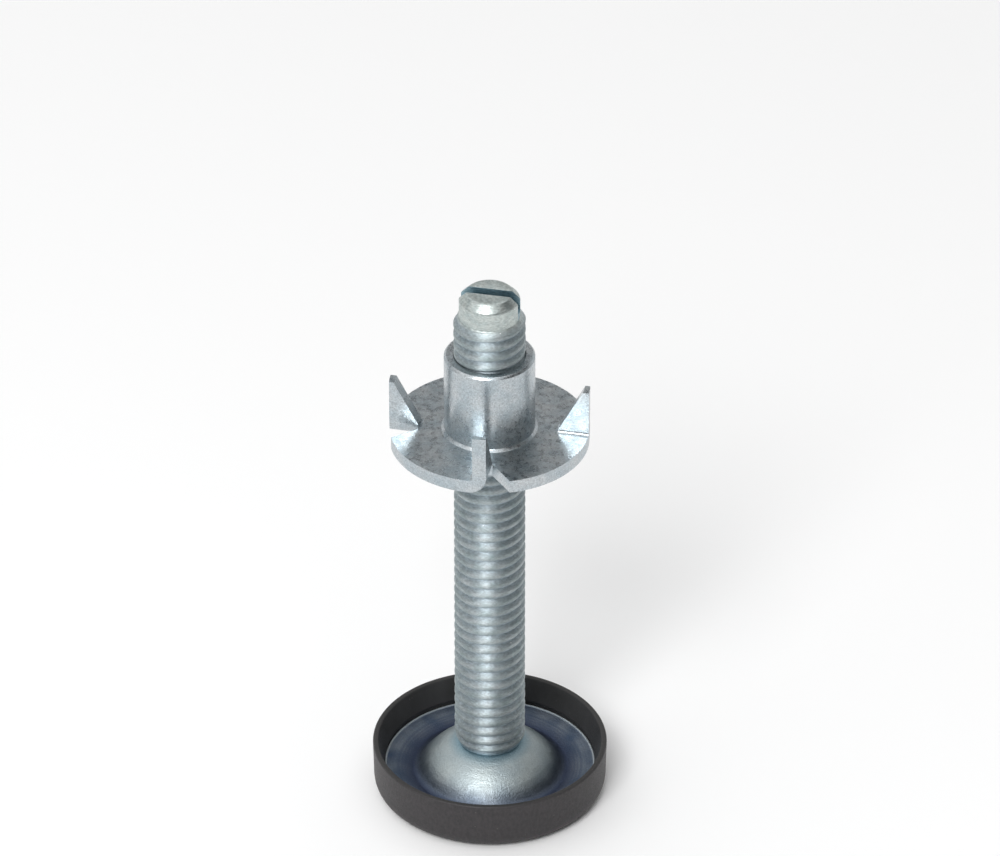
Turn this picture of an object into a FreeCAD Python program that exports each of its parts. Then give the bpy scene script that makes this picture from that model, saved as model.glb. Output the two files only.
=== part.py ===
import FreeCAD, Part
import math
import os

# Adjustable cabinet leg: a screw spindle with a slotted tip, riveted so that it turns and tilts
# in a pressed steel plate that snaps into a plastic glide cup, and the drive-in nut it runs in.
# Millimetres, +Z up, origin at the middle of the cup's underside.

# Pressed swivel plate
SHEET = 1.0
DOME_RADIUS = 9.6
DOME_HEIGHT = 4.4
DOME_FILLET = 1.2
FLANK_SLOPE = 45.0
FLANGE_WIDTH = 3.2
FLANGE_RISE = 0.7
SHEET_EDGE_CHAMFER = 0.2

# Glide cup
CUP_FLOOR = 1.2
CUP_WALL = 1.2
CUP_TAPER = 0.15
CUP_EDGE_CHAMFER = 1.2
RIM_ABOVE_PLATE = 3.05
RIM_LAND = 0.6
RIM_CHAMFER = 0.15
BEAD_HEIGHT = 0.2
BEAD_LENGTH = 0.4

# Spindle
THREAD_DIAMETER = 7.9
THREAD_LENGTH = 55.8
THREAD_CHAMFER = 0.5
TIP_DIAMETER = 6.7
TIP_LENGTH = 3.0
TIP_CHAMFER = 0.85
SLOT_WIDTH = 1.2
SLOT_DEPTH = 2.1
NECK_DIAMETER = 7.0
NECK_HEIGHT = 0.8
SHANK_DIAMETER = 4.2
RIVET_DIAMETER = 6.4
RIVET_HEIGHT = 1.0
RIVET_CHAMFER = 0.4

# Retaining washer under the dome
WASHER_DIAMETER = 9.0
WASHER_THICKNESS = 0.8

# Drive-in nut
NUT_BELOW_TIP = 17.5
NUT_WALL = 1.0
NUT_BARREL = 9.5
NUT_SHEET = 1.5
NUT_FLANGE_REACH = 6.0
NUT_ROOT_CHAMFER = 0.3
NUT_MOUTH_CHAMFER = 0.8
NUT_LIP_CHAMFER = 0.25
PRONG_COUNT = 4
PRONG_WIDTH = 3.4
PRONG_HEIGHT = 5.5
PRONG_TIP = 0.7
PRONG_BEND = 0.4
PRONG_RELIEF = 0.3

# Fits
TILT_LIMIT = 4.0
SWIVEL_CLEARANCE = 0.05
SEAT_CLEARANCE = 0.05
EDGE_CLEARANCE = 0.05
THREAD_CLEARANCE = 0.05

# Heights and radii that follow
AXIS = FreeCAD.Vector(0, 0, 1)
VALLEY_TOP = CUP_FLOOR + SEAT_CLEARANCE + SHEET
CENTRE_Z = VALLEY_TOP + DOME_HEIGHT - DOME_RADIUS
CENTRE_DROP = DOME_RADIUS - DOME_HEIGHT
VALLEY_RADIUS = math.sqrt((DOME_RADIUS + DOME_FILLET) ** 2 - (CENTRE_DROP + DOME_FILLET) ** 2)
PLATE_RADIUS = VALLEY_RADIUS + FLANGE_WIDTH
PLATE_EDGE_TOP = VALLEY_TOP + FLANGE_RISE
CUP_BORE = PLATE_RADIUS + EDGE_CLEARANCE
CUP_RADIUS = CUP_BORE + CUP_WALL
CUP_HEIGHT = PLATE_EDGE_TOP + RIM_ABOVE_PLATE

SEAT_SPHERE = DOME_RADIUS + SWIVEL_CLEARANCE
WASHER_SPHERE = DOME_RADIUS - SHEET - SWIVEL_CLEARANCE
THREAD_RADIUS = THREAD_DIAMETER / 2
TIP_RADIUS = TIP_DIAMETER / 2
NECK_RADIUS = NECK_DIAMETER / 2
SHANK_RADIUS = SHANK_DIAMETER / 2
RIVET_RADIUS = RIVET_DIAMETER / 2
WASHER_RADIUS = WASHER_DIAMETER / 2
TILT_TRAVEL = DOME_RADIUS * math.sin(math.radians(TILT_LIMIT))
PLATE_HOLE = SHANK_RADIUS + TILT_TRAVEL + SWIVEL_CLEARANCE


def point(r, z):
    return FreeCAD.Vector(r, 0, z)


# Centre of the dome's sphere, about which the foot tilts
CENTRE = point(0, CENTRE_Z)


def sphere_height(sphere_radius, r):
    """Height of a sphere about the swivel centre at a distance r from the axis."""
    return CENTRE_Z + math.sqrt(sphere_radius ** 2 - r ** 2)


def on_sphere(sphere_radius, r):
    return point(r, sphere_height(sphere_radius, r))


WASHER_TOP = sphere_height(WASHER_SPHERE, WASHER_RADIUS)
WASHER_FOOT = WASHER_TOP - WASHER_THICKNESS
RIVET_TOP = WASHER_FOOT - SWIVEL_CLEARANCE
RIVET_FOOT = RIVET_TOP - RIVET_HEIGHT
THREAD_BOTTOM = sphere_height(SEAT_SPHERE, NECK_RADIUS) + NECK_HEIGHT
THREAD_TOP = THREAD_BOTTOM + THREAD_LENGTH
TIP_TOP = THREAD_TOP + TIP_LENGTH

NUT_SEAT = TIP_TOP - NUT_BELOW_TIP
NUT_BASE = NUT_SEAT - NUT_SHEET
NUT_BORE = THREAD_RADIUS + THREAD_CLEARANCE
BARREL_RADIUS = NUT_BORE + NUT_WALL
NUT_FLANGE_RADIUS = BARREL_RADIUS + NUT_FLANGE_REACH


def arc(centre, start, end):
    """The shorter arc about a centre, from start to end."""
    bisector = (start - centre).normalize() + (end - centre).normalize()
    middle = centre + bisector.normalize() * start.distanceToPoint(centre)
    return Part.Arc(start, middle, end).toShape()


def outline(steps):
    """Closed wire through points; a (centre, point) step is reached along an arc."""
    edges = []
    here = steps[0]
    for step in steps[1:] + steps[:1]:
        if isinstance(step, tuple):
            centre, there = step
            edges.append(arc(centre, here, there))
        else:
            there = step
            edges.append(Part.LineSegment(here, there).toShape())
        here = there
    return Part.Wire(edges)


def chamfered(before, corner, after, size):
    """Steps of an outline that cuts a corner off, the same length along both runs."""
    back = (before - corner).normalize()
    ahead = (after - corner).normalize()
    return [corner + back * size, corner + ahead * size]


def turned(steps):
    """Solid of revolution about Z from an outline in the XZ plane."""
    return Part.Face(outline(steps)).revolve(FreeCAD.Vector(), AXIS, 360)


def glide_cup():
    """Moulded cup: bevelled foot, snap bead over the plate's edge, inside flared to a thin rim."""
    base_middle = point(0, 0)
    base_corner = point(CUP_RADIUS - CUP_TAPER, 0)
    rim_outer = point(CUP_RADIUS, CUP_HEIGHT)
    rim_inner = point(CUP_RADIUS - RIM_LAND, CUP_HEIGHT)
    bead_foot = point(CUP_BORE, PLATE_EDGE_TOP + EDGE_CLEARANCE)
    bead_crest = bead_foot + point(-BEAD_HEIGHT, BEAD_LENGTH)
    floor_corner = point(CUP_BORE, CUP_FLOOR)
    floor_middle = point(0, CUP_FLOOR)
    return turned([
        base_middle,
        *chamfered(base_middle, base_corner, rim_outer, CUP_EDGE_CHAMFER),
        *chamfered(base_corner, rim_outer, rim_inner, RIM_CHAMFER),
        *chamfered(rim_outer, rim_inner, bead_crest, RIM_CHAMFER),
        bead_crest,
        bead_foot,
        floor_corner,
        floor_middle,
    ])


def swivel_plate():
    """Pressed sheet: dome with a pierced hole, filleted into a valley, and an upturned flange.

    Underneath, a straight flank runs from the hollow of the dome to the flat ring it stands on.
    """
    inner_sphere = DOME_RADIUS - SHEET
    fillet_centre = point(VALLEY_RADIUS, VALLEY_TOP + DOME_FILLET)
    towards_fillet = (fillet_centre - CENTRE).normalize()
    slope = math.atan2(FLANGE_RISE, FLANGE_WIDTH)
    valley_top = point(VALLEY_RADIUS, VALLEY_TOP)
    valley_foot = valley_top - point(0, SHEET)
    crease_foot = valley_foot + point(SHEET * math.tan(slope / 2), 0)
    edge_top = point(PLATE_RADIUS, PLATE_EDGE_TOP)
    edge_foot = edge_top - point(0, SHEET / math.cos(slope))
    flank = math.radians(FLANK_SLOPE)
    flank_top = on_sphere(inner_sphere, inner_sphere * math.sin(flank))
    flank_drop = flank_top.z - valley_foot.z
    ring_inner = point(flank_top.x + flank_drop / math.tan(flank), valley_foot.z)
    return turned([
        on_sphere(DOME_RADIUS, PLATE_HOLE),
        (CENTRE, CENTRE + towards_fillet * DOME_RADIUS),
        (fillet_centre, valley_top),
        *chamfered(valley_top, edge_top, edge_foot, SHEET_EDGE_CHAMFER),
        *chamfered(edge_top, edge_foot, crease_foot, SHEET_EDGE_CHAMFER),
        crease_foot,
        ring_inner,
        flank_top,
        (CENTRE, on_sphere(inner_sphere, PLATE_HOLE)),
    ])


def retaining_washer():
    """Plain washer whose edge bears under the dome and keeps the rivet from pulling through."""
    bore = SHANK_RADIUS + SWIVEL_CLEARANCE
    return turned([
        point(bore, WASHER_TOP),
        point(WASHER_RADIUS, WASHER_TOP),
        point(WASHER_RADIUS, WASHER_FOOT),
        point(bore, WASHER_FOOT),
    ])


def spindle():
    """Turned spindle: riveted shank, neck seated on the dome, thread at full diameter, slotted tip."""
    rivet_middle = point(0, RIVET_FOOT)
    rivet_foot = point(RIVET_RADIUS, RIVET_FOOT)
    rivet_top = point(RIVET_RADIUS, RIVET_TOP)
    body = turned([
        rivet_middle,
        *chamfered(rivet_middle, rivet_foot, rivet_top, RIVET_CHAMFER),
        rivet_top,
        point(SHANK_RADIUS, RIVET_TOP),
        on_sphere(SEAT_SPHERE, SHANK_RADIUS),
        (CENTRE, on_sphere(SEAT_SPHERE, NECK_RADIUS)),
        point(NECK_RADIUS, THREAD_BOTTOM),
        point(THREAD_RADIUS, THREAD_BOTTOM + THREAD_CHAMFER),
        point(THREAD_RADIUS, THREAD_TOP - THREAD_CHAMFER),
        point(TIP_RADIUS, THREAD_TOP),
        point(TIP_RADIUS, TIP_TOP - TIP_CHAMFER),
        point(TIP_RADIUS - TIP_CHAMFER, TIP_TOP),
        point(0, TIP_TOP),
    ])
    corner = FreeCAD.Vector(-TIP_DIAMETER, -SLOT_WIDTH / 2, TIP_TOP - SLOT_DEPTH)
    slot = Part.makeBox(2 * TIP_DIAMETER, SLOT_WIDTH, 2 * SLOT_DEPTH, corner)
    return body.cut(slot)


def nut_body():
    """Drawn barrel with a flared mouth below and a round flange."""
    mouth_corner = point(NUT_BORE, NUT_BASE)
    flange_foot = point(NUT_FLANGE_RADIUS, NUT_BASE)
    flange_top = point(NUT_FLANGE_RADIUS, NUT_SEAT)
    root = point(BARREL_RADIUS, NUT_SEAT)
    lip_outer = point(BARREL_RADIUS, NUT_SEAT + NUT_BARREL)
    lip_inner = point(NUT_BORE, NUT_SEAT + NUT_BARREL)
    return turned([
        *chamfered(lip_inner, mouth_corner, flange_foot, NUT_MOUTH_CHAMFER),
        flange_foot,
        flange_top,
        *chamfered(flange_top, root, lip_outer, NUT_ROOT_CHAMFER),
        *chamfered(root, lip_outer, lip_inner, NUT_LIP_CHAMFER),
        lip_inner,
    ])


def prong_notch():
    """Gap left in the flange where one prong was sheared along the edge and bent up."""
    inner = NUT_FLANGE_RADIUS - PRONG_WIDTH - PRONG_RELIEF
    outside = NUT_FLANGE_RADIUS + PRONG_RELIEF
    corners = [
        FreeCAD.Vector(inner, 0, NUT_BASE),
        FreeCAD.Vector(outside, 0, NUT_BASE),
        FreeCAD.Vector(outside, PRONG_HEIGHT, NUT_BASE),
        FreeCAD.Vector(inner, PRONG_BEND + NUT_SHEET, NUT_BASE),
    ]
    return Part.Face(outline(corners)).extrude(AXIS * NUT_SHEET)


def prong():
    """Pointed tab bent up about a radial line, kept inside the flange's own circle."""
    inner = NUT_FLANGE_RADIUS - PRONG_WIDTH
    bend_centre = FreeCAD.Vector(inner, 0, NUT_SEAT + PRONG_BEND)
    tip_z = NUT_SEAT + PRONG_HEIGHT
    outer_face = PRONG_BEND + NUT_SHEET
    section = outline([
        FreeCAD.Vector(inner, 0, NUT_BASE),
        (bend_centre, FreeCAD.Vector(inner, outer_face, NUT_SEAT + PRONG_BEND)),
        FreeCAD.Vector(inner, outer_face, tip_z),
        FreeCAD.Vector(inner, PRONG_BEND, tip_z),
        FreeCAD.Vector(inner, PRONG_BEND, NUT_SEAT + PRONG_BEND),
        (bend_centre, FreeCAD.Vector(inner, 0, NUT_SEAT)),
    ])
    strip = Part.Face(section).extrude(FreeCAD.Vector(PRONG_WIDTH, 0, 0))
    taper = Part.Face(outline([
        point(inner, NUT_BASE),
        point(NUT_FLANGE_RADIUS, NUT_BASE),
        point(NUT_FLANGE_RADIUS, tip_z),
        point(NUT_FLANGE_RADIUS - PRONG_TIP, tip_z),
        point(inner, NUT_SEAT + PRONG_BEND),
    ])).extrude(FreeCAD.Vector(0, outer_face, 0))
    inside = Part.makeCylinder(NUT_FLANGE_RADIUS, PRONG_HEIGHT + NUT_SHEET, point(0, NUT_BASE))
    return strip.common(taper).common(inside)


def drive_in_nut():
    """Nut with its prongs, each beside the notch that its metal came from."""
    nut = nut_body()
    for index in range(PRONG_COUNT):
        angle = 360 * index / PRONG_COUNT
        nut = nut.cut(prong_notch().rotate(FreeCAD.Vector(), AXIS, angle))
        nut = nut.fuse(prong().rotate(FreeCAD.Vector(), AXIS, angle))
    return nut.removeSplitter()


os.makedirs("parts", exist_ok=True)
for make_piece in (glide_cup, swivel_plate, retaining_washer, spindle, drive_in_nut):
    make_piece().exportStep(os.path.join("parts", make_piece.__name__ + ".step"))
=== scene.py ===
"""Looks of the adjustable cabinet leg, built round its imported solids. Metres, +Z up."""

import math

import bmesh
import bpy
from mathutils import Matrix, Vector


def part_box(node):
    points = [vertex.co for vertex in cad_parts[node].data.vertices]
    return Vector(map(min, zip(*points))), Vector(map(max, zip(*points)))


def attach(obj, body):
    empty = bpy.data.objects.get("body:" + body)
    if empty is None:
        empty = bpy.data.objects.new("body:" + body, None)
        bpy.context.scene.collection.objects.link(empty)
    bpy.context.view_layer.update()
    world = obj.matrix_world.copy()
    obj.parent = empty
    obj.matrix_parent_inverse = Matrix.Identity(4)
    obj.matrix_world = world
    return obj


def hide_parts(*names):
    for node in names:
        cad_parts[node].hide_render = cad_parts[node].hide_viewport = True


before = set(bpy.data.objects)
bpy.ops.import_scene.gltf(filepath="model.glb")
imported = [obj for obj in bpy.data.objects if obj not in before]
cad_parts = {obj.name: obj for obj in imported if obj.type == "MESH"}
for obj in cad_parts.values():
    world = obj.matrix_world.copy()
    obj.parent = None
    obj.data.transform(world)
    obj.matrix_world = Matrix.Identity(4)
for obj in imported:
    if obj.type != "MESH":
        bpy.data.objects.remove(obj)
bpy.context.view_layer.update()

MM = 0.001

# Read from the frame
CUP_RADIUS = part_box("glide_cup")[1].x
CUP_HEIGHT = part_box("glide_cup")[1].z
PLATE_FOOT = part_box("swivel_plate")[0].z
PLATE_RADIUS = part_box("swivel_plate")[1].x
RIVET_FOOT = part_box("spindle")[0].z
THREAD_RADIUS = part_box("spindle")[1].x
TIP_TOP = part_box("spindle")[1].z

# Glide cup
CUP_FLOOR = 1.2 * MM
CUP_TAPER = 0.15 * MM
CUP_FOOT_ROUNDING = 1.8 * MM
RIM_LAND = 0.6 * MM
RIM_ROUNDING = 0.22 * MM
BEAD_HEIGHT = 0.2 * MM
BEAD_LENGTH = 0.4 * MM
BEAD_ROUNDING = 0.15 * MM
FLOOR_ROUNDING = 0.3 * MM

# Swivel plate
SHEET = 1.0 * MM
SHEET_ROUNDING = 0.15 * MM
DOME_RADIUS = 9.6 * MM
DOME_HEIGHT = 4.4 * MM
DOME_FILLET = 1.2 * MM
FLANGE_WIDTH = 3.2 * MM
FLANGE_RISE = 0.7 * MM
LIP_WIDTH = 0.35 * MM
LIP_RISE = 0.22 * MM
LIP_ROUNDING = 0.25 * MM
PLATE_HOLE = 2.82 * MM
EDGE_CLEARANCE = 0.05 * MM

# Spindle; its thread runs a little further down over the neck than the solid's
PITCH = 1.25 * MM
FLANK_ANGLE = math.radians(36)
CREST_FLAT = 0.12 * MM
CREST_ROUNDING = 0.3 * MM
ROOT_ROUNDING = 0.15 * MM
THREAD_LENGTH = 55.8 * MM
THREAD_OVERRUN = 0.3 * MM
THREAD_CHAMFER = 0.5 * MM
TIP_RADIUS = 3.35 * MM
TIP_LENGTH = 3.0 * MM
TIP_CHAMFER = 0.85 * MM
TIP_ROUNDING = 0.4 * MM
SLOT_WIDTH = 1.2 * MM
SLOT_DEPTH = 2.1 * MM
SLOT_ROUNDING = 0.08 * MM
NECK_RADIUS = 3.5 * MM
NECK_ROUNDING = 0.1 * MM
SHANK_RADIUS = 2.1 * MM
RIVET_RADIUS = 3.2 * MM
RIVET_HEIGHT = 1.0 * MM
RIVET_ROUNDING = 0.35 * MM
SWIVEL_CLEARANCE = 0.05 * MM

# Drive-in nut
NUT_ROUNDING = 0.1 * MM

# Heights and sizes that follow
VALLEY_TOP = PLATE_FOOT + SHEET
VALLEY_RADIUS = PLATE_RADIUS - FLANGE_WIDTH
CENTRE_Z = VALLEY_TOP + DOME_HEIGHT - DOME_RADIUS
CUP_BORE = PLATE_RADIUS + EDGE_CLEARANCE
BEAD_FOOT = VALLEY_TOP + FLANGE_RISE + EDGE_CLEARANCE
SEAT_SPHERE = DOME_RADIUS + SWIVEL_CLEARANCE
THREAD_TOP = TIP_TOP - TIP_LENGTH
THREAD_BOTTOM = THREAD_TOP - THREAD_LENGTH - THREAD_OVERRUN
SHARP_DEPTH = (PITCH - CREST_FLAT) / 2 / math.tan(FLANK_ANGLE)
ROUNDED_OFF = (CREST_ROUNDING + ROOT_ROUNDING) * (1 / math.sin(FLANK_ANGLE) - 1)
ROOT_RADIUS = THREAD_RADIUS - SHARP_DEPTH + ROUNDED_OFF
CUTTER_LENGTH = 4 * TIP_RADIUS

# Mesh fineness
CUP_COLUMNS = 256
SPINDLE_COLUMNS = 96
CORNER_STEP = math.radians(10)
DOME_STEP = math.radians(5)
LEAST_ARC_STEPS = 3
THREAD_ARC_STEPS = 7
SPARE_TURNS = 1.5
SEAT_STEPS = 6
SLOT_SEGMENTS = 2
NUT_SEGMENTS = 3
ROUND_PROFILE = 0.5
BRACE = 0.06 * MM
SHORTEST_BRACED_RUN = 4 * BRACE
MERGE = 0.0001 * MM
SHARP_ANGLE = math.radians(50)
FLAT_ANGLE = math.radians(0.5)
EDGE_ANGLE = math.radians(25)
WALL_FACING = math.cos(math.radians(25))

# Colours, in pairs where the surface is cloudy
# Painted glints: near-white specks in the spindle's colour
PAINTED_GLINT_COLOUR = (0.95, 0.97, 0.98)
THREAD_COLOURS = (0.35, 0.42, 0.43), (0.515, 0.56, 0.575)
# Painted light: the thread roots are paler to offset the shade in the grooves
PAINTED_ROOT_LIGHT_COLOUR = (0.455, 0.525, 0.565)
# Painted reflection: the neck's teal stands in for the reflection round its foot
NECK_REFLECTION_COLOUR = (0.30, 0.46, 0.54)
TIP_COLOURS = (0.41, 0.47, 0.465), (0.55, 0.59, 0.57)
# Painted shade: the slot darker and bluer than the tip
SLOT_SHADE_COLOUR = (0.25, 0.355, 0.40)
DOME_COLOURS = (0.375, 0.44, 0.465), (0.475, 0.53, 0.535)
# Painted reflection: a darker teal ring on the dome round the neck
COLLAR_REFLECTION_COLOUR = (0.235, 0.355, 0.415)
# Painted shade: dark blue ring in the valley between dome and flange
VALLEY_SHADE_COLOUR = (0.05, 0.065, 0.11)
# Flange: the plating's own blue, darkened as painted shade
FLANGE_TINT_AND_SHADE_COLOURS = (0.075, 0.11, 0.17), (0.24, 0.27, 0.305)
# Painted highlight: the plate's sheared edge is painted pale
EDGE_HIGHLIGHT_COLOUR = (0.59, 0.65, 0.68)
NUT_COLOURS = (0.40, 0.46, 0.495), (0.51, 0.54, 0.555)
CUP_INNER_COLOURS = (0.024, 0.024, 0.024), (0.038, 0.038, 0.039)
CUP_OUTER_COLOURS = (0.026, 0.025, 0.026), (0.042, 0.037, 0.040)
RIM_COLOUR = (0.026, 0.025, 0.025)
DUST_COLOUR = (0.11, 0.105, 0.10)
FLOOR_COLOUR = (0.95, 0.95, 0.95)

# How far the plate's painted reflection round the neck, painted shade in the valley and flange colour
# reach
COLLAR_REFLECTION_WIDTH = 1.3 * MM
VALLEY_SHADE_REACH = 1.9 * MM
FLANGE_BLEND = 2.4 * MM

# Size of the marks on the surfaces; a scale below 1 draws them out along its axis
GRAIN_SIZE = 0.18 * MM
GLOSS_CLOUD = 0.7 * MM
THREAD_CLOUD = 1.4 * MM
TIP_CLOUD = 0.7 * MM
PLATE_CLOUD = 2.8 * MM
NUT_CLOUD = 2.1 * MM
CUP_CLOUD = 2.8 * MM
RING_SIZE = 0.35 * MM
MOTTLE_SIZE = 0.3 * MM
GLINT_SIZE = 0.09 * MM
GLINT_SPACING = 1.6 * MM
DUST_SIZE = 0.07 * MM
DUST_SPACING = 1.1 * MM
SCRATCH_SCALE = 0.5, 0.5, 1.5
MOTTLE_SCALE = 1, 1, 1 / 1.6

# Strength of the marks; a level is a share of the colour
COARSE_GRAIN = 0.78, 1.22
FINE_GRAIN = 0.9, 1.1
RING_LEVELS = 0.35, 1.0
SPINDLE_GRAIN_DEPTH = 0.03 * MM
PLATE_GRAIN_DEPTH = 0.045 * MM
NUT_GRAIN_DEPTH = 0.015 * MM
PLASTIC_GRAIN_DEPTH = 0.015 * MM

# Noise: how finely it is broken up, and the part of its range that is used
SMOOTH_DETAIL = 2.0
GRAIN_DETAIL = 3.0
CLOUD_DETAIL = 5.0
NOISE_LOW = 0.3
NOISE_HIGH = 0.7

# Roughness of the bright and the dull spots; the thread's gloss is spread along the spindle
THREAD_ROUGHNESS = 0.53, 0.62
TIP_ROUGHNESS = 0.33, 0.46
PLATE_ROUGHNESS = 0.43, 0.56
NUT_ROUGHNESS = 0.22, 0.38
PLASTIC_ROUGHNESS = 0.45, 0.62
FLOOR_ROUGHNESS = 0.9
PLASTIC_SHINE = 0.42
GLOSS_SPREAD = 0.82
QUARTER_TURN = 0.25

# Sockets of the colour mix node, whose names aren't unique
MIX_INPUTS = 0, 6, 7
MIX_RESULT = 2

# Lamps: angles towards them in degrees, distance and size in metres, power in watts
KEY_LAMP = {"azimuth": -8, "elevation": 44, "distance": 1.0, "size": 0.4, "power": 5.8}
CEILING_LAMP = {"azimuth": -90, "elevation": 78, "distance": 1.3, "size": 2.6, "power": 20.0}

# Room: its bright side is behind the leg, and a pale horizon fades into a dim upper part
BRIGHT_SIDE = math.radians(200)
BRIGHT_LEVEL = 0.66
DIM_LEVEL = 0.19
HORIZON_LEVEL = 1.45
UPPER_LEVEL = 0.22
HORIZON_TOP = math.sin(math.radians(18))
UPPER_FOOT = math.sin(math.radians(32))
FLOOR_RADIUS = 10.0
FLOOR_SEGMENTS = 96

# Camera of the photograph
CAMERA_AZIMUTH = math.radians(12)
CAMERA_ELEVATION = math.radians(33.7)
CAMERA_DISTANCE = 0.91
CAMERA_LENS = 299
AIM_HEIGHT = 47.9 * MM
AIM_SIDE = 1.14 * MM


def turned_by(vector, angle):
    """A flat vector turned anticlockwise."""
    return Matrix.Rotation(angle, 2) @ vector


def fillet(before, corner, after, radius):
    """Points of the arc that rounds a corner between two straight runs."""
    back = (before - corner).normalized()
    ahead = (after - corner).normalized()
    half_angle = back.angle(ahead) / 2
    centre = corner + (back + ahead).normalized() * (radius / math.sin(half_angle))
    start = corner + back * (radius / math.tan(half_angle)) - centre
    sweep = math.copysign(math.pi - 2 * half_angle, ahead.cross(back))
    steps = max(LEAST_ARC_STEPS, math.ceil(abs(sweep) / CORNER_STEP))
    return [centre + turned_by(start, sweep * step / steps) for step in range(steps + 1)]


def polar_arc(centre, radius, start, end):
    """Points of an arc between two angles, measured from straight up towards +r."""
    steps = max(LEAST_ARC_STEPS, math.ceil(abs(end - start) / DOME_STEP))
    angles = [start + (end - start) * step / steps for step in range(steps + 1)]
    return [centre + radius * Vector((math.sin(angle), math.cos(angle))) for angle in angles]


def braced(points, closed=False):
    """Adds a point close to each end of the long runs, so that flat faces stay flat in shading."""
    result = []
    for index, point in enumerate(points):
        result.append(point)
        if index + 1 == len(points) and not closed:
            break
        following = points[(index + 1) % len(points)]
        run = following - point
        if run.length > SHORTEST_BRACED_RUN:
            result.append(point + run.normalized() * BRACE)
            result.append(following - run.normalized() * BRACE)
    return result


def outline(corners):
    """Points of an open section from corners (r, z, rounding), with its long runs braced."""
    rounded = []
    for index, (r, z, rounding) in enumerate(corners):
        corner = Vector((r, z))
        if rounding:
            before = Vector(corners[index - 1][:2])
            after = Vector(corners[index + 1][:2])
            rounded += fillet(before, corner, after, rounding)
        else:
            rounded.append(corner)
    return braced(rounded)


def lathe(mesh, section, columns, closed=False):
    """Turns a section of (r, z) points about Z into a bmesh."""
    lines = []
    for column in range(columns):
        angle = 2 * math.pi * column / columns
        across = Vector((math.cos(angle), math.sin(angle), 0))
        lines.append([mesh.verts.new(across * r + Vector((0, 0, z))) for r, z in section])
    runs = len(section) if closed else len(section) - 1
    for column, line in enumerate(lines):
        beside = lines[(column + 1) % columns]
        for step in range(runs):
            above = (step + 1) % len(section)
            mesh.faces.new((line[step], beside[step], beside[above], line[above]))


def finished(mesh, name, body, node, material):
    """Closes a bmesh into a smooth piece that rides on a body and stands for a CAD node."""
    bmesh.ops.remove_doubles(mesh, verts=mesh.verts, dist=MERGE)
    bmesh.ops.recalc_face_normals(mesh, faces=mesh.faces)
    data = bpy.data.meshes.new(name)
    mesh.to_mesh(data)
    mesh.free()
    data.polygons.foreach_set("use_smooth", [True] * len(data.polygons))
    data.set_sharp_from_angle(angle=SHARP_ANGLE)
    data.materials.append(material)
    piece = bpy.data.objects.new(name, data)
    bpy.context.scene.collection.objects.link(piece)
    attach(piece, body)
    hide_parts(node)
    return piece


def evaluated_mesh(piece):
    """New mesh of a piece with its modifiers applied."""
    graph = bpy.context.evaluated_depsgraph_get()
    return bpy.data.meshes.new_from_object(piece.evaluated_get(graph))


def give(tree, socket, value):
    """Links a socket to an input, or sets the input to a plain value."""
    if isinstance(value, bpy.types.NodeSocket):
        tree.links.new(value, socket)
    else:
        socket.default_value = value


def add_node(tree, kind, settings=None, **inputs):
    """New shader node, with its settings and its inputs by name."""
    made = tree.nodes.new(kind)
    for name, value in (settings or {}).items():
        setattr(made, name, value)
    for name, value in inputs.items():
        give(tree, made.inputs[name.replace("_", " ")], value)
    return made


def new_material(name):
    """Material with its tree, principled shader and object coordinates."""
    material = bpy.data.materials.new(name)
    material.use_nodes = True
    tree = material.node_tree
    shader = tree.nodes["Principled BSDF"]
    coordinates = tree.nodes.new("ShaderNodeTexCoord").outputs["Object"]
    return material, tree, shader, coordinates


def noise(tree, coordinates, size, detail=SMOOTH_DETAIL):
    """Noise whose lumps are about the given size."""
    made = add_node(tree, "ShaderNodeTexNoise", Vector=coordinates, Scale=1 / size, Detail=detail)
    return made.outputs["Fac"]


def spread(tree, value, low, high, start=NOISE_LOW, end=NOISE_HIGH):
    """A value from start to end becomes low to high."""
    ranges = {"From_Min": start, "From_Max": end, "To_Min": low, "To_Max": high}
    return add_node(tree, "ShaderNodeMapRange", Value=value, **ranges).outputs["Result"]


def blend(tree, factor, first, second):
    """Colour between two colours or colour sockets."""
    made = add_node(tree, "ShaderNodeMix", {"data_type": "RGBA"})
    for index, value in zip(MIX_INPUTS, (factor, first, second)):
        is_colour = isinstance(value, tuple)
        give(tree, made.inputs[index], (*value, 1) if is_colour else value)
    return made.outputs[MIX_RESULT]


def product(tree, first, second):
    """Two values multiplied."""
    made = add_node(tree, "ShaderNodeMath", {"operation": "MULTIPLY"})
    tree.links.new(first, made.inputs[0])
    tree.links.new(second, made.inputs[1])
    return made.outputs["Value"]


def bump(tree, height, depth):
    """Normal of a surface roughened by a height from 0 to 1."""
    return add_node(tree, "ShaderNodeBump", Height=height, Distance=depth).outputs["Normal"]


def scaled(tree, coordinates, scale):
    """Coordinates scaled along each axis; a mark grows where its scale is small."""
    made = add_node(tree, "ShaderNodeVectorMath", {"operation": "MULTIPLY"})
    tree.links.new(coordinates, made.inputs[0])
    made.inputs[1].default_value = scale
    return made.outputs["Vector"]


def from_axis(tree, coordinates):
    """Distance from the Z axis."""
    length = add_node(tree, "ShaderNodeVectorMath", {"operation": "LENGTH"})
    tree.links.new(scaled(tree, coordinates, (1, 1, 0)), length.inputs[0])
    return length.outputs["Value"]


def along(tree, coordinates, axis):
    """One of the three coordinates."""
    return add_node(tree, "ShaderNodeSeparateXYZ", Vector=coordinates).outputs[axis]


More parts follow.
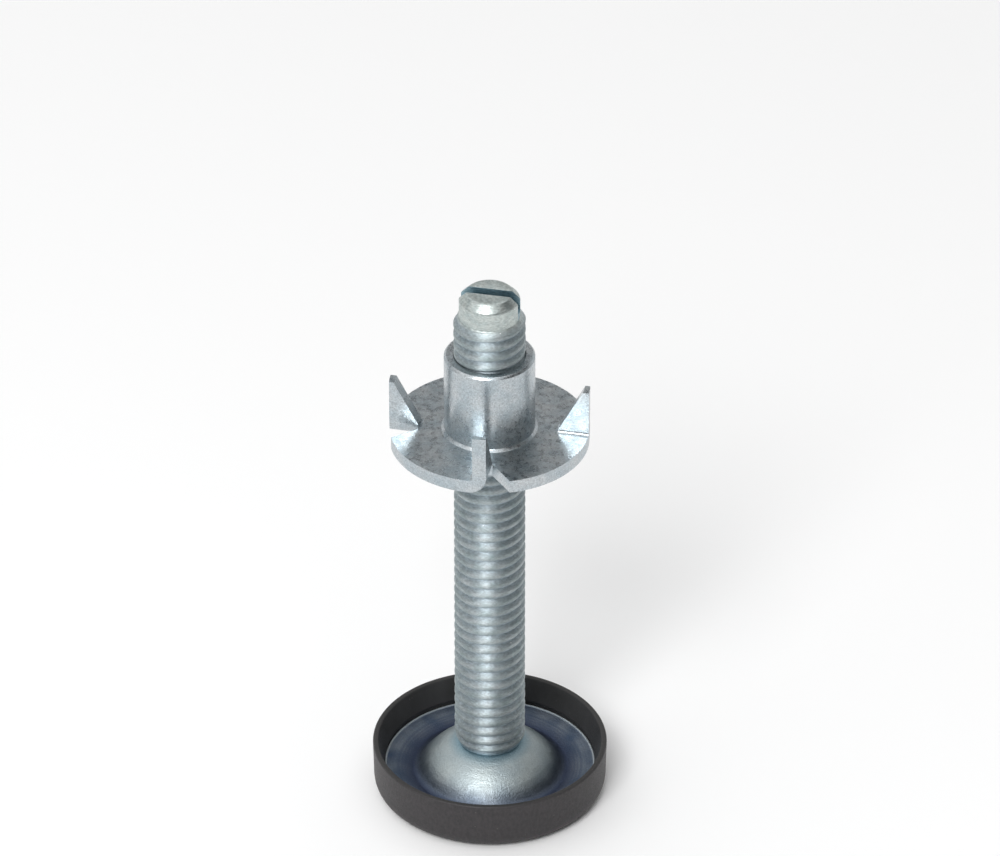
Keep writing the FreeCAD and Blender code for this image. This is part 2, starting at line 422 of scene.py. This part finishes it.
def in_slot(tree, coordinates):
    """1 on the faces of the screwdriver slot, 0 elsewhere."""
    across = add_node(tree, "ShaderNodeMath", {"operation": "ABSOLUTE"})
    tree.links.new(along(tree, coordinates, "Y"), across.inputs[0])
    half = SLOT_WIDTH / 2
    between = spread(tree, across.outputs["Value"], 1.0, 0.0, half, half + SLOT_ROUNDING / 2)
    up = along(tree, coordinates, "Z")
    above = spread(tree, up, 0.0, 1.0, THREAD_TOP, THREAD_TOP + SLOT_ROUNDING)
    return product(tree, between, above)


def specks(tree, coordinates, spacing, size):
    """1 on small round specks strewn about a spacing apart, 0 between them."""
    cells = add_node(tree, "ShaderNodeTexVoronoi", Vector=coordinates, Scale=1 / spacing)
    return spread(tree, cells.outputs["Distance"], 1.0, 0.0, size / spacing / 2, size / spacing)


def rings(tree, coordinates, size):
    """Noise that changes only with the distance from the Z axis, as turning marks do."""
    outward = add_node(tree, "ShaderNodeCombineXYZ", X=from_axis(tree, coordinates))
    return noise(tree, outward.outputs["Vector"], size)


def mottled(tree, coordinates, size, colours):
    """Cloudy change between two colours."""
    clouds = spread(tree, noise(tree, coordinates, size, CLOUD_DETAIL), 0.0, 1.0)
    return blend(tree, clouds, *colours)


def plating(tree, shader, coordinates, colour, roughness, grain, grain_depth):
    """Zinc plating on a colour: sandy grain and uneven gloss."""
    sand = noise(tree, coordinates, GRAIN_SIZE, GRAIN_DETAIL)
    gloss = noise(tree, coordinates, GLOSS_CLOUD, GRAIN_DETAIL)
    level = spread(tree, sand, *grain)
    sandy = add_node(tree, "ShaderNodeVectorMath", {"operation": "SCALE"}, Scale=level)
    tree.links.new(colour, sandy.inputs[0])
    tree.links.new(sandy.outputs["Vector"], shader.inputs["Base Color"])
    tree.links.new(spread(tree, gloss, *roughness), shader.inputs["Roughness"])
    tree.links.new(bump(tree, sand, grain_depth), shader.inputs["Normal"])
    shader.inputs["Metallic"].default_value = 1.0


def spindle_zinc():
    """Bright plating with a few painted glints: pale tip, thread roots painted paler as painted light
    against their shade, blue slot darkened as painted shade, neck painted teal as a painted reflection.

    The rolled thread's fine marks run round it, so its gloss is spread along the axis. The tip's isn't.
    """
    material, tree, shader, coordinates = new_material("spindle_zinc")
    up = along(tree, coordinates, "Z")
    # Painted light: paler towards the thread roots, against the shade in the grooves
    depth = spread(tree, from_axis(tree, coordinates), 1.0, 0.0, ROOT_RADIUS, THREAD_RADIUS)
    on_neck = spread(tree, up, 1.0, 0.0, THREAD_BOTTOM - THREAD_CHAMFER, THREAD_BOTTOM)
    on_tip = spread(tree, up, 0.0, 1.0, THREAD_TOP - THREAD_CHAMFER, THREAD_TOP)
    colour = mottled(tree, coordinates, THREAD_CLOUD, THREAD_COLOURS)
    colour = blend(tree, depth, colour, PAINTED_ROOT_LIGHT_COLOUR)
    # Painted reflection: teal on the neck
    colour = blend(tree, on_neck, colour, NECK_REFLECTION_COLOUR)
    colour = blend(tree, on_tip, colour, mottled(tree, coordinates, TIP_CLOUD, TIP_COLOURS))
    # Painted shade: darker blue in the screwdriver slot
    colour = blend(tree, in_slot(tree, coordinates), colour, SLOT_SHADE_COLOUR)
    # Painted glints: near-white specks strewn over the spindle
    colour = blend(tree, specks(tree, coordinates, GLINT_SPACING, GLINT_SIZE), colour, PAINTED_GLINT_COLOUR)
    pairs = zip(THREAD_ROUGHNESS, TIP_ROUGHNESS)
    roughness = [spread(tree, on_tip, thread_end, tip_end, 0, 1) for thread_end, tip_end in pairs]
    scratched = scaled(tree, coordinates, SCRATCH_SCALE)
    plating(tree, shader, scratched, colour, roughness, COARSE_GRAIN, SPINDLE_GRAIN_DEPTH)
    around = add_node(tree, "ShaderNodeTangent", {"direction_type": "RADIAL", "axis": "Z"})
    tree.links.new(around.outputs["Tangent"], shader.inputs["Tangent"])
    tree.links.new(spread(tree, on_tip, GLOSS_SPREAD, 0, 0, 1), shader.inputs["Anisotropic"])
    shader.inputs["Anisotropic Rotation"].default_value = QUARTER_TURN
    return material


def plate_zinc():
    """Satin plating: grey dome with a teal ring of painted reflection round the neck, blue flange with
    ring marks whose blue is the plating's own and whose darkness is painted shade, sheared edge painted
    pale as a painted highlight.

    A dark blue ring of painted shade lies in the valley between dome and flange.
    """
    material, tree, shader, coordinates = new_material("plate_zinc")
    outward = from_axis(tree, coordinates)
    # Painted reflection: teal ring round the neck
    on_collar_reflection = spread(tree, outward, 1.0, 0.0, NECK_RADIUS, NECK_RADIUS + COLLAR_REFLECTION_WIDTH)
    on_flange = spread(tree, outward, 0.0, 1.0, VALLEY_RADIUS - FLANGE_BLEND, VALLEY_RADIUS)
    # Painted shade: a dark ring either side of the valley
    inside = spread(tree, outward, 0.0, 1.0, VALLEY_RADIUS - VALLEY_SHADE_REACH, VALLEY_RADIUS)
    outside = spread(tree, outward, 1.0, 0.0, VALLEY_RADIUS, VALLEY_RADIUS + VALLEY_SHADE_REACH)
    # Painted highlight along the plate's sheared edge
    on_edge_highlight = spread(tree, outward, 0.0, 1.0, PLATE_RADIUS - LIP_WIDTH, PLATE_RADIUS - LIP_WIDTH / 2)
    marks = spread(tree, rings(tree, coordinates, RING_SIZE), *RING_LEVELS)
    clouds = spread(tree, noise(tree, coordinates, PLATE_CLOUD), 0.0, 1.0)
    dome = mottled(tree, coordinates, PLATE_CLOUD, DOME_COLOURS)
    dome = blend(tree, on_collar_reflection, dome, COLLAR_REFLECTION_COLOUR)
    # The flange's blue is the plating's own; its darkness is painted shade
    flange = blend(tree, product(tree, marks, clouds), *FLANGE_TINT_AND_SHADE_COLOURS)
    colour = blend(tree, on_flange, dome, flange)
    colour = blend(tree, product(tree, inside, outside), colour, VALLEY_SHADE_COLOUR)
    colour = blend(tree, on_edge_highlight, colour, EDGE_HIGHLIGHT_COLOUR)
    plating(tree, shader, coordinates, colour, PLATE_ROUGHNESS, FINE_GRAIN, PLATE_GRAIN_DEPTH)
    return material


def nut_zinc():
    """Bright plating on pressed sheet."""
    material, tree, shader, coordinates = new_material("nut_zinc")
    colour = mottled(tree, coordinates, NUT_CLOUD, NUT_COLOURS)
    plating(tree, shader, coordinates, colour, NUT_ROUGHNESS, COARSE_GRAIN, NUT_GRAIN_DEPTH)
    return material


def black_plastic():
    """Matt moulded plastic: fine grain, mottled outside, black rim and specks of dust."""
    material, tree, shader, coordinates = new_material("cup_plastic")
    outward = from_axis(tree, coordinates)
    upright = scaled(tree, coordinates, MOTTLE_SCALE)
    mottle = spread(tree, noise(tree, upright, MOTTLE_SIZE, GRAIN_DETAIL), 0.0, 1.0)
    outside = spread(tree, outward, 0.0, 1.0, CUP_RADIUS - RIM_LAND, CUP_RADIUS - CUP_TAPER)
    up = along(tree, coordinates, "Z")
    rim = spread(tree, up, 0.0, 1.0, CUP_HEIGHT - RIM_ROUNDING / 2, CUP_HEIGHT)
    inner = mottled(tree, coordinates, CUP_CLOUD, CUP_INNER_COLOURS)
    colour = blend(tree, outside, inner, blend(tree, mottle, *CUP_OUTER_COLOURS))
    colour = blend(tree, rim, colour, RIM_COLOUR)
    colour = blend(tree, specks(tree, coordinates, DUST_SPACING, DUST_SIZE), colour, DUST_COLOUR)
    grain = noise(tree, coordinates, GRAIN_SIZE, GRAIN_DETAIL)
    tree.links.new(colour, shader.inputs["Base Color"])
    tree.links.new(spread(tree, grain, *PLASTIC_ROUGHNESS), shader.inputs["Roughness"])
    tree.links.new(bump(tree, grain, PLASTIC_GRAIN_DEPTH), shader.inputs["Normal"])
    shader.inputs["Specular IOR Level"].default_value = PLASTIC_SHINE
    return material


def glide_cup(material):
    """Moulded cup with a rounded foot, a soft rim and a snap bead over the plate's edge."""
    mesh = bmesh.new()
    section = outline([
        (0, 0, 0),
        (CUP_RADIUS - CUP_TAPER, 0, CUP_FOOT_ROUNDING),
        (CUP_RADIUS, CUP_HEIGHT, RIM_ROUNDING),
        (CUP_RADIUS - RIM_LAND, CUP_HEIGHT, RIM_ROUNDING),
        (CUP_BORE - BEAD_HEIGHT, BEAD_FOOT + BEAD_LENGTH, BEAD_ROUNDING),
        (CUP_BORE, BEAD_FOOT, 0),
        (CUP_BORE, CUP_FLOOR, FLOOR_ROUNDING),
        (0, CUP_FLOOR, 0),
    ])
    lathe(mesh, section, CUP_COLUMNS)
    finished(mesh, "moulded_cup", "foot", "glide_cup", material)


def hole_angle(sphere):
    """Angle from straight up at which a sphere of the dome meets the plate's hole."""
    return math.asin(PLATE_HOLE / sphere)


def swivel_plate(material):
    """Pressed sheet with one thickness throughout: dome, fillet, creased valley and upturned flange."""
    centre = Vector((0, CENTRE_Z))
    fillet_centre = Vector((VALLEY_RADIUS, VALLEY_TOP + DOME_FILLET))
    meet = math.atan2(VALLEY_RADIUS, fillet_centre.y - CENTRE_Z)
    slope = math.atan2(FLANGE_RISE, FLANGE_WIDTH)
    valley = Vector((VALLEY_RADIUS, VALLEY_TOP))
    edge = Vector((PLATE_RADIUS, VALLEY_TOP + FLANGE_RISE))
    lip = edge - Vector((LIP_WIDTH, LIP_RISE))
    edge_below = edge - Vector((0, SHEET / math.cos(slope)))
    valley_below = valley + Vector((SHEET * math.tan(slope / 2), -SHEET))
    inner_sphere = DOME_RADIUS - SHEET
    top = polar_arc(centre, DOME_RADIUS, hole_angle(DOME_RADIUS), meet)
    top += polar_arc(fillet_centre, DOME_FILLET, math.pi + meet, math.pi)[1:]
    edges = fillet(valley, lip, edge, LIP_ROUNDING)
    edges += fillet(lip, edge, edge_below, SHEET_ROUNDING)
    edges += fillet(edge, edge_below, valley_below, SHEET_ROUNDING)
    under = polar_arc(fillet_centre, DOME_FILLET + SHEET, math.pi, math.pi + meet)
    under += polar_arc(centre, inner_sphere, meet, hole_angle(inner_sphere))[1:]
    section = braced(top + edges + [valley_below] + under, closed=True)
    mesh = bmesh.new()
    lathe(mesh, section, CUP_COLUMNS, closed=True)
    finished(mesh, "pressed_plate", "foot", "swivel_plate", material)


def thread_rows():
    """Offsets along the axis and radii of one turn of the thread, from crest to root."""
    reach = math.pi / 2 - FLANK_ANGLE
    crest_centre = THREAD_RADIUS - CREST_ROUNDING
    root_centre = ROOT_RADIUS + ROOT_ROUNDING
    crest = []
    root = []
    for step in range(THREAD_ARC_STEPS + 1):
        angle = reach * (2 * step / THREAD_ARC_STEPS - 1)
        along_axis = math.sin(angle)
        outward = math.cos(angle)
        land_end = math.copysign(CREST_FLAT / 2, angle)
        crest.append((land_end + CREST_ROUNDING * along_axis, crest_centre + CREST_ROUNDING * outward))
        root.append((PITCH / 2 + ROOT_ROUNDING * along_axis, root_centre - ROOT_ROUNDING * outward))
    return crest + root


def thread_envelope(z):
    """Largest radius of the thread at a height: chamfered at both ends."""
    return min(
        THREAD_RADIUS,
        NECK_RADIUS + (THREAD_RADIUS - NECK_RADIUS) * (z - THREAD_BOTTOM) / THREAD_CHAMFER,
        TIP_RADIUS + (THREAD_RADIUS - TIP_RADIUS) * (THREAD_TOP - z) / THREAD_CHAMFER,
    )


def thread(mesh):
    """Right-hand helical thread: rows that follow the helix, clamped to the thread's two ends."""
    turn_rows = thread_rows()
    low = THREAD_BOTTOM - SPARE_TURNS * PITCH
    turns = math.ceil((THREAD_TOP - THREAD_BOTTOM) / PITCH + 2 * SPARE_TURNS)
    rows = []
    for turn in range(turns):
        rows += [(low + turn * PITCH + offset, radius) for offset, radius in turn_rows]
    lines = []
    for column in range(SPINDLE_COLUMNS):
        share = column / SPINDLE_COLUMNS
        across = Vector((math.cos(2 * math.pi * share), math.sin(2 * math.pi * share), 0))
        line = []
        for start, radius in rows:
            z = min(max(start + PITCH * share, THREAD_BOTTOM), THREAD_TOP)
            line.append(mesh.verts.new(across * min(radius, thread_envelope(z)) + Vector((0, 0, z))))
        lines.append(line)
    for column, line in enumerate(lines):
        beside = lines[(column + 1) % SPINDLE_COLUMNS]
        rise = len(turn_rows) if column + 1 == SPINDLE_COLUMNS else 0
        for row in range(len(rows) - 1 - rise):
            mesh.faces.new((line[row], beside[row + rise], beside[row + rise + 1], line[row + 1]))


def seat_height(r):
    """Height of the neck's hollow seat at a distance from the axis."""
    return CENTRE_Z + math.sqrt(SEAT_SPHERE ** 2 - r ** 2)


def spindle(material):
    """Threaded spindle: riveted shank, neck on the dome, rolled thread, slotted tip."""
    mesh = bmesh.new()
    rivet_top = RIVET_FOOT + RIVET_HEIGHT
    seat_width = NECK_RADIUS - SHANK_RADIUS
    seat_radii = [SHANK_RADIUS + seat_width * step / SEAT_STEPS for step in range(SEAT_STEPS)]
    lathe(mesh, outline([
        (0, RIVET_FOOT, 0),
        (RIVET_RADIUS, RIVET_FOOT, RIVET_ROUNDING),
        (RIVET_RADIUS, rivet_top, NECK_ROUNDING),
        (SHANK_RADIUS, rivet_top, 0),
        *[(r, seat_height(r), 0) for r in seat_radii],
        (NECK_RADIUS, seat_height(NECK_RADIUS), NECK_ROUNDING),
        (NECK_RADIUS, THREAD_BOTTOM, 0),
    ]), SPINDLE_COLUMNS)
    thread(mesh)
    lathe(mesh, outline([
        (TIP_RADIUS, THREAD_TOP, 0),
        (TIP_RADIUS, TIP_TOP - TIP_CHAMFER, TIP_ROUNDING),
        (TIP_RADIUS - TIP_CHAMFER, TIP_TOP, TIP_ROUNDING),
        (0, TIP_TOP, 0),
    ]), SPINDLE_COLUMNS)
    piece = finished(mesh, "threaded_spindle", "screw", "spindle", material)
    cut_slot(piece)


def cut_slot(piece):
    """Cuts the screwdriver slot along X into the tip and rounds its edges."""
    mesh = bmesh.new()
    size = Matrix.Diagonal((CUTTER_LENGTH, SLOT_WIDTH, 2 * SLOT_DEPTH, 1))
    bmesh.ops.create_cube(mesh, size=1, matrix=Matrix.Translation((0, 0, TIP_TOP)) @ size)
    cutter_data = bpy.data.meshes.new("slot_cutter")
    mesh.to_mesh(cutter_data)
    mesh.free()
    cutter = bpy.data.objects.new("slot_cutter", cutter_data)
    bpy.context.scene.collection.objects.link(cutter)
    cut = piece.modifiers.new("slot", "BOOLEAN")
    cut.object = cutter
    cut.operation = "DIFFERENCE"
    cut.solver = "EXACT"
    slotted = evaluated_mesh(piece)
    piece.modifiers.clear()
    bpy.data.objects.remove(cutter)
    bpy.data.meshes.remove(cutter_data)
    round_slot(slotted)
    piece.data = slotted


def on_slot_wall(face):
    """True for a face of one of the slot's two walls."""
    middle = face.calc_center_median()
    at_wall = abs(abs(middle.y) - SLOT_WIDTH / 2) < BRACE and middle.z > THREAD_TOP
    return at_wall and abs(face.normal.y) > WALL_FACING


def round_slot(data):
    """Rounds the edges where the slot's walls meet the outside of the tip."""
    mesh = bmesh.new()
    mesh.from_mesh(data)
    bmesh.ops.remove_doubles(mesh, verts=mesh.verts, dist=MERGE)
    walls = {face for face in mesh.faces if on_slot_wall(face)}
    edges = []
    for edge in mesh.edges:
        wall_sides = sum(face in walls for face in edge.link_faces)
        if wall_sides == 1 and edge.is_convex:
            edges.append(edge)
    bmesh.ops.bevel(
        mesh, geom=edges, offset=SLOT_ROUNDING, segments=SLOT_SEGMENTS, profile=ROUND_PROFILE,
        affect="EDGES", clamp_overlap=True,
    )
    mesh.to_mesh(data)
    mesh.free()
    data.set_sharp_from_angle(angle=SHARP_ANGLE)


def drive_in_nut(material):
    """Pronged nut: the solid's own form with its edges rounded and its flat faces kept flat."""
    mesh = bmesh.new()
    mesh.from_mesh(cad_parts["drive_in_nut"].data)
    bmesh.ops.remove_doubles(mesh, verts=mesh.verts, dist=MERGE)
    bmesh.ops.dissolve_limit(mesh, angle_limit=FLAT_ANGLE, verts=mesh.verts, edges=mesh.edges)
    piece = finished(mesh, "pronged_nut", "nut", "drive_in_nut", material)
    rounding = piece.modifiers.new("rounding", "BEVEL")
    rounding.width = NUT_ROUNDING
    rounding.segments = NUT_SEGMENTS
    rounding.limit_method = "ANGLE"
    rounding.angle_limit = EDGE_ANGLE
    rounding.harden_normals = True
    flattening = piece.modifiers.new("flattening", "WEIGHTED_NORMAL")
    flattening.keep_sharp = True
    rounded = evaluated_mesh(piece)
    piece.modifiers.clear()
    piece.data = rounded


def retaining_washer(material):
    """The washer keeps the solid's own form and gets the plate's finish."""
    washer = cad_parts["retaining_washer"].data
    washer.materials.clear()
    washer.materials.append(material)


def direction(azimuth, elevation):
    """Unit vector from the leg towards a viewer or lamp; azimuth 0 is -Y, 90 degrees is +X."""
    level = math.cos(elevation)
    return Vector((math.sin(azimuth) * level, -math.cos(azimuth) * level, math.sin(elevation)))


def place_camera():
    """Long lens at the photograph's angle, with the spindle a little left of the middle."""
    data = bpy.data.cameras.new("camera")
    data.lens = CAMERA_LENS
    camera = bpy.data.objects.new("camera", data)
    bpy.context.scene.collection.objects.link(camera)
    sight = direction(CAMERA_AZIMUTH, CAMERA_ELEVATION)
    side = Vector((math.cos(CAMERA_AZIMUTH), math.sin(CAMERA_AZIMUTH), 0))
    aim = Vector((0, 0, AIM_HEIGHT)) + side * AIM_SIDE
    camera.location = aim + sight * CAMERA_DISTANCE
    camera.rotation_euler = (-sight).to_track_quat("-Z", "Y").to_euler()
    bpy.context.scene.camera = camera


def area_lamp(name, azimuth, elevation, distance, size, power):
    """Square soft light that faces the leg's foot."""
    data = bpy.data.lights.new(name, "AREA")
    data.size = size
    data.energy = power
    lamp = bpy.data.objects.new(name, data)
    bpy.context.scene.collection.objects.link(lamp)
    away = direction(math.radians(azimuth), math.radians(elevation))
    lamp.location = away * distance
    lamp.rotation_euler = (-away).to_track_quat("-Z", "Y").to_euler()


def light_scene():
    """Soft studio: key light from the front, wide ceiling light and a room brighter behind the leg."""
    area_lamp("key", **KEY_LAMP)
    area_lamp("ceiling", **CEILING_LAMP)
    world = bpy.data.worlds.new("studio")
    world.use_nodes = True
    tree = world.node_tree
    ray = tree.nodes.new("ShaderNodeTexCoord").outputs["Generated"]
    towards = add_node(tree, "ShaderNodeVectorMath", {"operation": "DOT_PRODUCT"})
    tree.links.new(ray, towards.inputs[0])
    towards.inputs[1].default_value = direction(BRIGHT_SIDE, 0)
    side = spread(tree, towards.outputs["Value"], DIM_LEVEL, BRIGHT_LEVEL, -1, 1)
    up = along(tree, ray, "Z")
    rise = spread(tree, up, HORIZON_LEVEL, UPPER_LEVEL, HORIZON_TOP, UPPER_FOOT)
    tree.links.new(product(tree, side, rise), tree.nodes["Background"].inputs["Color"])
    bpy.context.scene.world = world


def floor():
    """Plain pale floor under the leg."""
    mesh = bmesh.new()
    bmesh.ops.create_circle(mesh, cap_ends=True, segments=FLOOR_SEGMENTS, radius=FLOOR_RADIUS)
    data = bpy.data.meshes.new("floor")
    mesh.to_mesh(data)
    mesh.free()
    ground = bpy.data.objects.new("floor", data)
    bpy.context.scene.collection.objects.link(ground)
    material = bpy.data.materials.new("pale_floor")
    material.use_nodes = True
    shader = material.node_tree.nodes["Principled BSDF"]
    shader.inputs["Base Color"].default_value = (*FLOOR_COLOUR, 1)
    shader.inputs["Roughness"].default_value = FLOOR_ROUGHNESS
    data.materials.append(material)


glide_cup(black_plastic())
plate_finish = plate_zinc()
swivel_plate(plate_finish)
retaining_washer(plate_finish)
spindle(spindle_zinc())
drive_in_nut(nut_zinc())

floor()
light_scene()
place_camera()
bpy.context.scene.view_settings.view_transform = "Standard"
